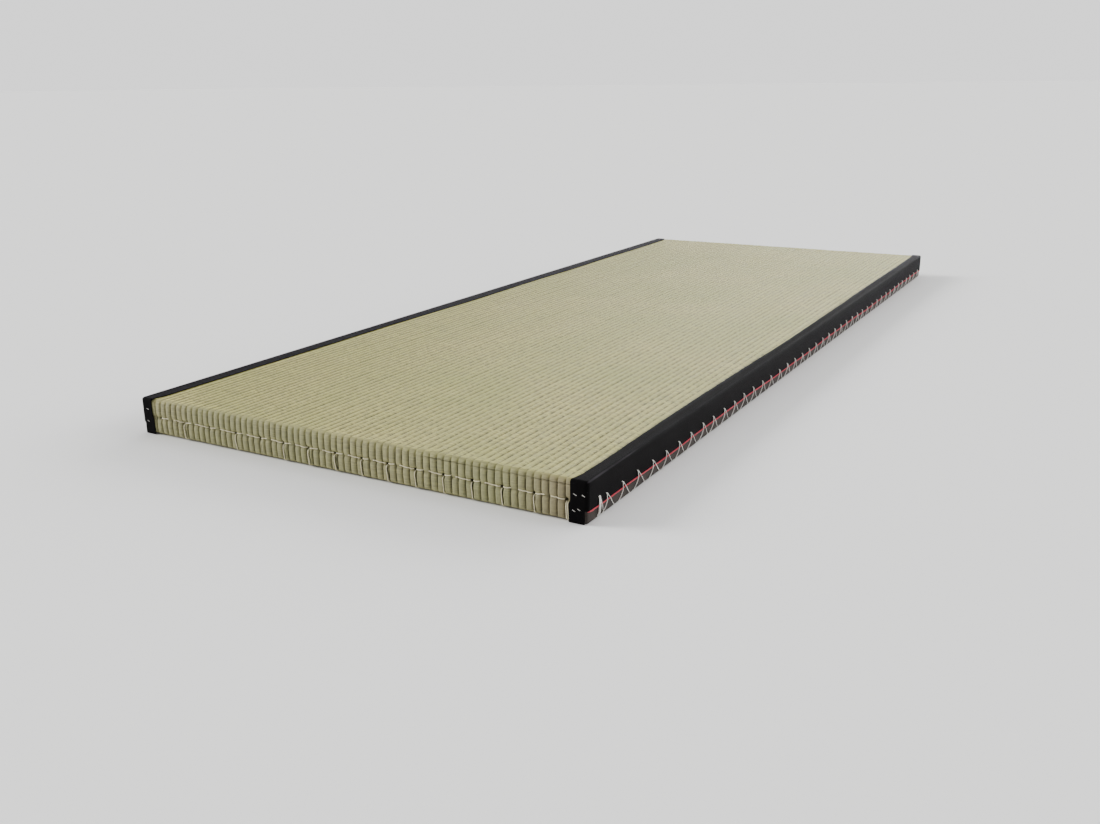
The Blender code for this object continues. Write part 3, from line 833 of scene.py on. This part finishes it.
def pucker(cloth, side, inner, seed):
    """Let the cloth wander as sewn cloth does: its folds, its two edges and shallow dents."""
    phase = np.random.RandomState(seed).uniform(0, 2 * math.pi, 8)
    lower_edge = MAT_HEIGHT - SIDE_DROP
    for vert in cloth.data.vertices:
        x, y, z = vert.co
        worn = float(smooth_step(HALF_LENGTH - abs(y), 20 * MM, 450 * MM))
        fold = FOLD_RADIUS + FOLD_GROWTH[side] * worn
        to_side, to_top = HALF_WIDTH - side * x, MAT_HEIGHT - z
        slope = 1 - smooth_step(to_side, 3 * MM, 17 * MM)
        upper = 1 - smooth_step(to_top, 6 * MM, 20 * MM)
        vert.co.z -= EDGE_DROP[side] * worn * slope * upper
        if abs(y) < HALF_LENGTH - CORNER_RADIUS and to_side < fold and to_top < fold:
            rounder = fold / math.hypot(fold - to_side, fold - to_top)
            vert.co.x = side * (HALF_WIDTH - fold + (fold - to_side) * rounder)
            vert.co.z += fold * (1 - rounder) + to_top * (rounder - 1)
            continue
        vert.co.x += (inner_edge(side, y) - inner) * (1 - smooth_step(abs(x - inner), 0.0, 14 * MM))
        on_side = side * x > HALF_WIDTH - 0.1 * MM and abs(y) < HALF_LENGTH - CORNER_RADIUS
        if on_side and z < lower_edge + EDGE_REACH:
            vert.co.z += edge_wave(y) * (1 - (z - lower_edge) / EDGE_REACH)
        if on_side:
            dent = math.sin(y / 0.0139 + phase[0]) * math.sin(y / 0.05 + phase[1])
            near_edge = 1 - smooth_step(z, lower_edge, lower_edge + 22 * MM)
            ripple = math.sin(z / 0.006 + y / 0.04)
            vert.co.x -= side * (SIDE_DENT * near_edge * (1 + dent) + SIDE_RIPPLE * ripple)
        if z > MAT_HEIGHT - 0.1 * MM:
            from_inner = abs(x - inner)
            wander = 0.22 * MM * math.sin(y / 0.009 + phase[2]) + 0.3 * MM * math.sin(y / 0.07 + phase[3])
            vert.co.x -= side * wander * (1 - smooth_step(from_inner, 0.0, 9 * MM))
            vert.co.z -= TOP_DENT * (1 + math.sin(y / 0.031 + phase[4]) * math.sin(x / 0.004 + y / 0.06))
        if z < FLARE_TOP and abs(x - inner) < 0.1 * MM and abs(y) > HALF_LENGTH - 1 * MM:
            vert.co.x -= side * FLAP_FLARE * smooth_step(FLARE_TOP - z, 0.0, 2 * MM)


for side, inner, name, node, flat_width, seed in (
        (-1, LEFT_INNER, "left_border_cloth", "border_left", 0.0665, 3),
        (1, RIGHT_INNER, "right_border_cloth", "border_right", 0.0625, 5)):
    cloth = border_cloth(side, inner)
    pucker(cloth, side, inner, seed)
    give_thickness(cloth, CLOTH)
    finish_piece(cloth, name, cotton, [node])

# %% [markdown]
# ## The backing sheet
#
# Under the mat lies a dark sheet of coarse weave, turned up behind the borders. Below the red thread it
# shows as a grey-brown band. It is a shallow tray: a box with its corners and lower edges bevelled, its
# top and the middle of its ends deleted, and Solidify for its thickness.

# %% Backing material and sheet
BACKING_OUTER = HALF_WIDTH - 1.5 * MM
BACKING_END = HALF_LENGTH - 1.5 * MM
BACKING_RISE = 30 * MM
BACKING = 1.0 * MM
BACKING_CORNER = 5 * MM
BACKING_FOLD = 4 * MM
BACKING_ROWS = 161
END_WALL_INNER = 0.380
END_INSET = 16 * MM
BACKING_DENT = 0.5 * MM
COARSE_PITCH = 1.6 * MM


def dark_coarse_weave():
    """Woven dark fibre sheet: coarse, matt, grey-brown."""
    material, tree, shader, place = new_material("dark_fibre_sheet")
    weave_height = weave_waves(tree, place, COARSE_PITCH, 0.3)
    mottle = add(tree, "TexNoise", {"Vector": place, "Scale": 220.0, "Detail": 3.0})
    thread = add(tree, "MapRange", {"Value": weave_height, "From Min": -0.5, "From Max": 0.5,
                 "To Min": -0.2, "To Max": 0.3})
    lightness = add(tree, "Math", {0: mottle, 1: thread}, operation="ADD")
    tone = add(tree, "Mix", {0: lightness, 6: linear("#151211"), 7: linear("#453d38")}, data_type="RGBA")
    height = add(tree, "Math", {0: weave_height, 1: mottle}, operation="ADD")
    bump = add(tree, "Bump", {"Height": height, "Strength": 0.6, "Distance": 0.3 * MM})
    set_inputs(shader, {"Base Color": tone, "Normal": bump, "Roughness": 0.8,
                        "Specular IOR Level": 0.15, "Sheen Weight": 0.05})
    return material


deselect()
tray_size = (2 * BACKING_OUTER, 2 * BACKING_END, BACKING_RISE)
bpy.ops.mesh.primitive_cube_add(size=1.0, location=(0, 0, BACKING_RISE / 2), scale=tray_size)
backing = bpy.context.object
bpy.ops.object.transform_apply()
bpy.ops.object.mode_set(mode="EDIT")
choose("EDGE", lambda e: along_axis(e, 2))
bpy.ops.mesh.bevel(offset=BACKING_CORNER, segments=5)
choose("EDGE", lambda e: middle(e).z < 0.1 * MM)
bpy.ops.mesh.bevel(offset=BACKING_FOLD, segments=4)
for place in (-END_WALL_INNER, END_WALL_INNER):
    bpy.ops.mesh.select_all(action="SELECT")
    bpy.ops.mesh.bisect(plane_co=(place, 0, 0), plane_no=(1, 0, 0))
on_end_wall = lambda f: abs(f.calc_center_median().y) > BACKING_END - 6 * MM and f.normal.z > -0.98
between_borders = lambda f: abs(f.calc_center_median().x) < END_WALL_INNER
choose("FACE", lambda f: f.normal.z > 0.9 or (on_end_wall(f) and between_borders(f)))
bpy.ops.mesh.delete(type="FACE")
choose("VERT", lambda v: abs(v.co.x) < END_WALL_INNER + 0.1 * MM and abs(v.co.y) > 0.9 and v.co.z < 1 * MM)
for vert in bmesh.from_edit_mesh(backing.data).verts:
    if vert.select:
        vert.co.y -= math.copysign(END_INSET, vert.co.y)
choose("EDGE", lambda e: along_axis(e, 1, 0.5))
bpy.ops.mesh.subdivide(number_cuts=BACKING_ROWS - 1)
bpy.ops.object.mode_set(mode="OBJECT")
ripple = np.random.RandomState(8).uniform(0, 2 * math.pi, 4)
for vert in backing.data.vertices:
    x, y, z = vert.co
    if abs(x) > BACKING_OUTER - BACKING_DENT:
        dent = 1 + math.sin(y / 0.0074 + ripple[0]) * math.sin(y / 0.033)
        vert.co.x -= math.copysign(BACKING_DENT, x) * dent
give_thickness(backing, BACKING)
finish_piece(backing, "backing_cloth", dark_coarse_weave(), ["backing_sheet"])

# %% [markdown]
# ## Thread
#
# Sewing thread is two plies twisted together. Two small circles, swept by a Screw modifier, make a
# straight length of it, one turn at a time. That length is copied for each stitch and bent along the
# stitch's route, a smooth curve through a few points. A Curve modifier could bend one length; with over
# a hundred stitches it is quicker to place each point of the copy beside the route in code.

# %% Twisted thread
TURN_STEPS = 6
rope_store = {}


def waxed_thread(name, light, dark, pitch, roughness):
    """Twisted sewing thread: fibres streaked along the twist, a little waxy."""
    material, tree, shader, place = new_material(name)
    fibre = add(tree, "TexNoise", {"Vector": place, "Scale": 1 / pitch, "Detail": 3.0})
    tone = add(tree, "Mix", {0: fibre, 6: linear(dark), 7: linear(light)}, data_type="RGBA")
    bump = add(tree, "Bump", {"Height": fibre, "Strength": 0.4, "Distance": 0.1 * MM})
    set_inputs(shader, {"Base Color": tone, "Normal": bump, "Roughness": roughness, "Sheen Weight": 0.05})
    return material


def straight_rope(turns, ply, pitch):
    """Points and faces of a straight two-ply thread along Z, made by a Screw modifier."""
    key = (turns, ply, pitch)
    if key in rope_store:
        return rope_store[key]
    deselect()
    bpy.ops.mesh.primitive_circle_add(vertices=6, radius=ply, location=(ply, 0, 0))
    rope = bpy.context.object
    bpy.ops.object.transform_apply()
    bpy.ops.object.mode_set(mode="EDIT")
    bpy.ops.mesh.select_all(action="SELECT")
    bpy.ops.mesh.duplicate()
    bpy.ops.transform.translate(value=(-2 * ply, 0, 0))
    bpy.ops.object.mode_set(mode="OBJECT")
    screw = rope.modifiers.new("twist", "SCREW")
    screw.axis = "Z"
    screw.angle = 2 * math.pi
    screw.screw_offset = pitch
    screw.iterations = turns
    screw.steps = TURN_STEPS
    screw.render_steps = TURN_STEPS
    screw.use_merge_vertices = False
    apply_modifiers(rope)
    bpy.ops.object.mode_set(mode="EDIT")
    bpy.ops.mesh.select_all(action="SELECT")
    bpy.ops.mesh.fill_holes(sides=8)
    bpy.ops.mesh.normals_make_consistent(inside=False)
    bpy.ops.object.mode_set(mode="OBJECT")
    spots = np.empty(len(rope.data.vertices) * 3)
    rope.data.vertices.foreach_get("co", spots)
    faces = [tuple(face.vertices) for face in rope.data.polygons]
    rope_store[key] = (spots.reshape(-1, 3), faces)
    bpy.data.objects.remove(rope, do_unlink=True)
    return rope_store[key]


def smooth_route(stops, spacing):
    """A smooth curve through a few stops, as points about this far apart."""
    stops = [np.array(stop, dtype=float) for stop in stops]
    padded = [2 * stops[0] - stops[1]] + stops + [2 * stops[-1] - stops[-2]]
    route = []
    for a, b, c, d in zip(padded, padded[1:], padded[2:], padded[3:]):
        pieces = max(2, int(np.linalg.norm(c - b) / spacing))
        for t in np.linspace(0, 1, pieces, endpoint=False):
            route.append(0.5 * (2 * b + (c - a) * t + (2 * a - 5 * b + 4 * c - d) * t * t
                                + (3 * b - a - 3 * c + d) * t ** 3))
    return np.array(route + [stops[-1]])


def bend_rope(route, outward, ply, pitch):
    """Points and faces of a thread bent along a route; outward is the way the cloth faces."""
    lengths = np.concatenate([[0], np.cumsum(np.linalg.norm(np.diff(route, axis=0), axis=1))])
    turns = max(1, round(lengths[-1] / pitch))
    spots, faces = straight_rope(turns, ply, pitch)
    along = np.clip(spots[:, 2] - spots[:, 2].min(), 0, None)
    along *= lengths[-1] / along.max()
    at = lambda reach: np.stack([np.interp(reach, lengths, route[:, k]) for k in range(3)], axis=1)
    centre = at(along)
    tangent = at(along + 0.4 * MM) - at(along - 0.4 * MM)
    tangent /= np.linalg.norm(tangent, axis=1, keepdims=True)
    beside = np.cross(tangent, np.array(outward, dtype=float))
    beside /= np.linalg.norm(beside, axis=1, keepdims=True)
    proud = np.cross(beside, tangent)
    return centre + beside * spots[:, :1] + proud * spots[:, 1:2], faces


def sew(name, stitches, material, replaced=()):
    """Join bent threads into one piece. Each stitch is (route, outward, ply radius, twist pitch)."""
    all_spots, all_faces, count = [], [], 0
    for route, outward, ply, pitch in stitches:
        spots, faces = bend_rope(route, outward, ply, pitch)
        all_spots.append(spots)
        all_faces += [tuple(index + count for index in face) for face in faces]
        count += len(spots)
    mesh = bpy.data.meshes.new(name)
    mesh.from_pydata(np.concatenate(all_spots), [], all_faces)
    piece = bpy.data.objects.new(name, mesh)
    bpy.context.scene.collection.objects.link(piece)
    take(piece)
    bpy.ops.object.shade_smooth()
    finish_piece(piece, name, material, replaced)


# %% [markdown]
# ## The red thread
#
# A red twisted thread runs along the lower edge of each border, laid against the backing sheet.

# %% Red thread
RED_PLY = 0.62 * MM
RED_TWIST = 4 * MM
RED_X = BACKING_OUTER + 1.1 * MM
RED_DROP = 1.0 * MM
RED_TURN_IN = 8 * MM

red = waxed_thread("twisted_red_cotton", "#f25566", "#b82a3c", 1.2 * MM, 0.5)
for side, name, node in (
        (-1, "red_thread_left", "red_edge_left"),
        (1, "red_thread_right", "red_edge_right")):
    level = MAT_HEIGHT - SIDE_DROP - RED_DROP
    corner = HALF_LENGTH - RED_TURN_IN
    stops = [(side * RED_X, y, level + edge_wave(y)) for y in np.linspace(-corner, corner, 180)]
    near_turn, far_turn = [(side * (RED_X - 2.8 * MM), end * (corner + 4.2 * MM),
                            level + edge_wave(end * corner)) for end in (-1, 1)]
    stops = [near_turn, *stops, far_turn]
    route = smooth_route(stops, 2 * MM)
    sew(name, [(route, (side, 0, 0), RED_PLY, RED_TWIST)], red, [node])

# %% [markdown]
# ## The white lacing
#
# A thick white thread binds border, backing and body along each long side. It comes out of the black
# cloth at a needle hole, crosses the red thread and the dark band, and goes under the mat, so each
# stitch shows as two legs: a thicker one that drops nearly straight and curls back at its foot, and a
# thinner one that slants away. The stitches are about 46 mm apart, and the first one is doubled.

# %% White lacing
LACE_PITCH = 46.4 * MM
LACE_FIRST = 51.2 * MM
LACE_COUNT = 42
LACE_TOP = 25.4 * MM
LACE_FALL = 2.0 * MM
NEEDLE_IN = 2.0 * MM
FOOT_IN = 4 * MM
FOOT_HEIGHT = 0.9 * MM
LOWEST_LEG = 1.1 * MM
SWAY_HEIGHT = 28
LACE_OUT = ((0.0, -1.0), (3.0, -0.7), (10.0, 0.3), (18.5, 1.5), (23.0, 1.1), (30.0, 0.8))
LEFT_LEG = ((0.0, 0.0), (0.7, -5.0), (0.6, -10.0), (-1.6, -16.0), (-6.0, -21.0), (-11.5, -24.4))
RIGHT_LEG = ((0.8, 0.2), (5.4, -4.5), (10.8, -10.0), (17.0, -16.5), (22.5, -21.5), (26.0, -24.4))
FIRST_LEGS = ((0.0, 0.0), (0.5, -8.0), (0.8, -16.0), (0.2, -24.0))
# each thread as (radius of a ply, length of one twist)
FIRST_THREAD = (0.60 * MM, 4 * MM)
THIN_THREAD = (0.20 * MM, 2.4 * MM)
LEFT_THREAD = (0.34 * MM, 3 * MM)
RIGHT_THREAD = (0.22 * MM, 2.6 * MM)


def leg_route(side, y, top, shape, sway):
    """Route of one leg of a stitch: offsets along the mat and down from the needle hole, in mm."""
    heights, outs = zip(*LACE_OUT)
    stops = [(side * (HALF_WIDTH - NEEDLE_IN), y, top + 0.2 * MM)]
    for forward, down in shape:
        z = max(top + down * MM, LOWEST_LEG)
        out = float(np.interp(z / MM, heights, outs)) * MM
        stops.append((side * (HALF_WIDTH + out), y + (forward + sway * down / SWAY_HEIGHT) * MM, z))
    foot = stops[-1]
    stops.append((foot[0] - side * FOOT_IN, foot[1], FOOT_HEIGHT))
    return smooth_route(stops, 1.2 * MM)


white = waxed_thread("waxed_white_cotton", "#fbfaf6", "#dcd9d0", 1.0 * MM, 0.45)
for side, name, seed in ((-1, "lacing_left", 21), (1, "lacing_right", 22)):
    jitter = np.random.RandomState(seed)
    stitches = []
    outward = (side, 0, 0)
    first = -HALF_LENGTH + 30 * MM
    first_top = LACE_TOP + 4.2 * MM
    for offset in (-1.15, 1.15):
        route = leg_route(side, first + offset * MM, first_top, FIRST_LEGS, 0.0)
        stitches.append((route, outward, *FIRST_THREAD))
    thin = tuple((forward * 0.5, down) for forward, down in RIGHT_LEG)
    stitches.append((leg_route(side, first + 2.2 * MM, LACE_TOP, thin, 0.0), outward, *THIN_THREAD))
    for number in range(LACE_COUNT):
        y = -HALF_LENGTH + LACE_FIRST + number * LACE_PITCH + jitter.uniform(-2, 2) * MM
        top = LACE_TOP - LACE_FALL * y + edge_wave(y) + jitter.uniform(-0.6, 0.6) * MM
        left_sway, right_sway = jitter.uniform(-2.0, 2.0, 2)
        stitches.append((leg_route(side, y, top, LEFT_LEG, left_sway), outward, *LEFT_THREAD))
        stitches.append((leg_route(side, y, top, RIGHT_LEG, right_sway), outward, *RIGHT_THREAD))
    sew(name, stitches, white)

# %% [markdown]
# ## Sewing across the ends
#
# A cream thread runs across each end, half way up, in and out of the rush. From most needle holes a
# second thread drops to the lower edge and pulls a crease in the rush. The routes ask the depth
# function of the facing where the surface is, so the thread lies on the ribs.

# %% End sewing
END_THREAD = (0.42 * MM, 3.0 * MM)
PULL_THREAD = (0.36 * MM, 3.0 * MM)
FROM_HOLE = 2.6 * MM
NEEDLE_DEPTH = 3 * MM
THREAD_LIFT = 0.6 * MM


def on_end(x, z, end, lift):
    """A point on the facing of an end, raised by lift; end is -1 near and 1 far."""
    depth, _ = end_depth(np.array([x]), np.array([z]), end < 0)
    return (x, end * (CREST_END - float(depth[0]) + lift), z)


def laid_across(x0, z0, x1, z1, end, lift):
    """A stitch on the ribs between two needle places, resting on their crests."""
    stops = [(x0, end * (CREST_END - NEEDLE_DEPTH), z0)]
    for t in np.linspace(0.06, 0.94, 9):
        x, z = x0 + t * (x1 - x0), z0 + t * (z1 - z0)
        nearby = [on_end(x + shift * MM, z, end, lift)[1] * end for shift in (-3, -1.5, 0, 1.5, 3)]
        stops.append((x, end * max(np.mean(nearby), nearby[2] + 0.1 * MM), z))
    stops.append((x1, end * (CREST_END - NEEDLE_DEPTH), z1))
    return smooth_route(stops, 1 * MM)


def pulled_down(hole, end, shift):
    """The thread that drops from a hole to the lower edge, beside the crevice that it pulls."""
    stops = [(hole + shift, end * (CREST_END - 4 * MM), STITCH_HEIGHT - 2.4 * MM)]
    for z in np.linspace(STITCH_HEIGHT - 3.2 * MM, 3.5 * MM, 8):
        x = float(pull_line(hole, z)) + shift
        nearby = [on_end(x + away * MM, z, end, 0.5 * MM)[1] * end for away in (-1.5, 0, 1.5, 3)]
        stops.append((x, end * (np.mean(nearby) + THREAD_LIFT), z))
    last = stops[-1]
    stops.append((last[0], end * (CREST_END - 4.5 * MM), 1.6 * MM))
    return smooth_route(stops, 1 * MM)


cream = waxed_thread("cream_hemp_thread", "#fffbe0", "#f2e6bf", 1.0 * MM, 0.55)
for end, name, seed in ((-1, "sewing_near_end", 31), (1, "sewing_far_end", 32)):
    jitter = np.random.RandomState(seed)
    stitches = []
    outward = (0, end, 0)
    for left, right in zip(HOLES, HOLES[1:]):
        span = right - left
        rise = jitter.uniform(1.4, 2.2) * MM
        dive = left + span * jitter.uniform(0.28, 0.38)
        back = dive + span * jitter.uniform(0.17, 0.22)
        low, high = STITCH_HEIGHT + 0.1 * MM, STITCH_HEIGHT + rise
        out_route = laid_across(left + FROM_HOLE, low, dive, high, end, THREAD_LIFT)
        in_route = laid_across(back, high, right - FROM_HOLE, low, end, THREAD_LIFT)
        stitches += [(out_route, outward, *END_THREAD), (in_route, outward, *END_THREAD)]
    for hole, pull in zip(HOLES, PULLS):
        if pull == 1.0:
            stitches.append((pulled_down(hole, end, 0.0), outward, *PULL_THREAD))
    stitches.append((pulled_down(HOLES[-1], end, 3.0 * MM), outward, *PULL_THREAD))
    sew(name, stitches, cream)

# %% [markdown]
# ## Corner stitches
#
# Short slanted stitches hold the flap of each border to the end of the mat, four on the right and two
# on the left. Each shows for only 4 or 5 mm.

# %% Corner stitches
FLAP_STITCHES = {
    # in mm: from the outer edge and up from the floor to the middle of a stitch, its run and drop
    1: ((18.7, 38.9, 4.8, 2.1), (6.7, 39.2, 4.4, 2.0), (20.3, 17.0, 4.4, 2.0), (13.0, 19.5, 4.4, 1.8)),
    -1: ((13.5, 41.0, 5.0, 2.0), (12.5, 21.0, 4.5, 2.0)),
}
CORNER_THREAD = (0.22 * MM, 2 * MM)
CORNER_LIFT = 0.1 * MM
CORNER_SUNK = 1.5 * MM
corner_stitches = []
for end in (-1, 1):
    for side in (-1, 1):
        for inward, height, run, drop in FLAP_STITCHES[side]:
            across = side * (HALF_WIDTH - inward * MM)
            centre = np.array([across, end * (HALF_LENGTH + CORNER_LIFT), height * MM])
            reach = np.array([run, 0.0, -drop]) * MM / 2
            sunk = np.array([0.0, -end * CORNER_SUNK, 0.0])
            shown = [centre - 0.8 * reach, centre + 0.8 * reach]
            route = smooth_route([centre - reach + sunk, *shown, centre + reach + sunk], 0.8 * MM)
            corner_stitches.append((route, (0, end, 0), *CORNER_THREAD))
sew("corner_stitches", corner_stitches, white)
